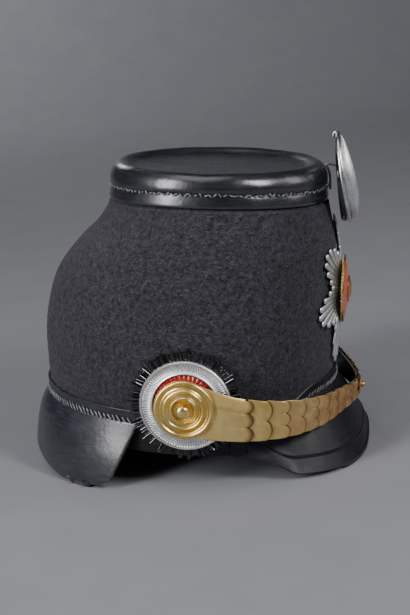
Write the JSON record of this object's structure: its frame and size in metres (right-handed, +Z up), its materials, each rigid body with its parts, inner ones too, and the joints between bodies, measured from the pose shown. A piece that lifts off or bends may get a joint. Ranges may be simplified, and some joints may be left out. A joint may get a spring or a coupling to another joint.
{
  "type": "shako hat",
  "caption": "Military shako of black felt with a leather crown, front and rear peaks, guard star, field badge, side cockade and brass chin scales.",
  "frame": {"origin": "on the table plane, under the middle of the box round the hat as it rests on both peaks", "axes": "+Z up from the table, -Y ahead of the wearer, -X to the wearer's right; the crown leans 5.7 degrees forward, as the hat stands by itself"},
  "size_m": [0.209, 0.2478, 0.2195],
  "materials": {
    "felt": "black wool felt with a short raised nap",
    "black_leather": "blackened and polished leather, worn to a soft sheen",
    "black_lacquer": "glossy black lacquer on pressed sheet metal",
    "silvered_metal": "silver-plated pressed metal",
    "steel_wire": "plain steel wire",
    "red_enamel": "red enamel over ribbed metal",
    "brass": "fire-gilt brass, dulled with age and coppery towards the front"
  },
  "bodies": {
    "root": {"badge_body": "black_lacquer", "badge_face": "silvered_metal", "badge_hook": "steel_wire", "badge_rim": "silvered_metal", "base_band": "black_leather", "body_felt": "felt", "cockade_centre": "red_enamel", "cockade_outer": "black_lacquer", "cockade_ring": "silvered_metal", "corner_tab_left": "black_leather", "corner_tab_right": "black_leather", "crown": "black_leather", "first_scale_left": "brass", "first_scale_right": "brass", "front_strip": "black_leather", "front_visor": "black_leather", "lap_plate_left": "brass", "lap_plate_right": "brass", "lap_stud": "brass", "medallion_boss": "brass", "medallion_disc": "red_enamel", "medallion_rim": "brass", "rear_strip": "black_leather", "rear_visor": "black_leather", "rosette_left": "brass", "rosette_right": "brass", "scale_backing_left": "black_leather", "scale_backing_right": "black_leather", "scale_left_1": "brass", "scale_left_2": "brass", "scale_left_3": "brass", "scale_left_4": "brass", "scale_left_5": "brass", "scale_left_6": "brass", "scale_left_7": "brass", "scale_left_8": "brass", "scale_left_9": "brass", "scale_right_1": "brass", "scale_right_2": "brass", "scale_right_3": "brass", "scale_right_4": "brass", "scale_right_5": "brass", "scale_right_6": "brass", "scale_right_7": "brass", "scale_right_8": "brass", "scale_right_9": "brass", "star_plate": "silvered_metal", "stud_left": "brass", "stud_right": "brass"}
  },
  "joints": []
}
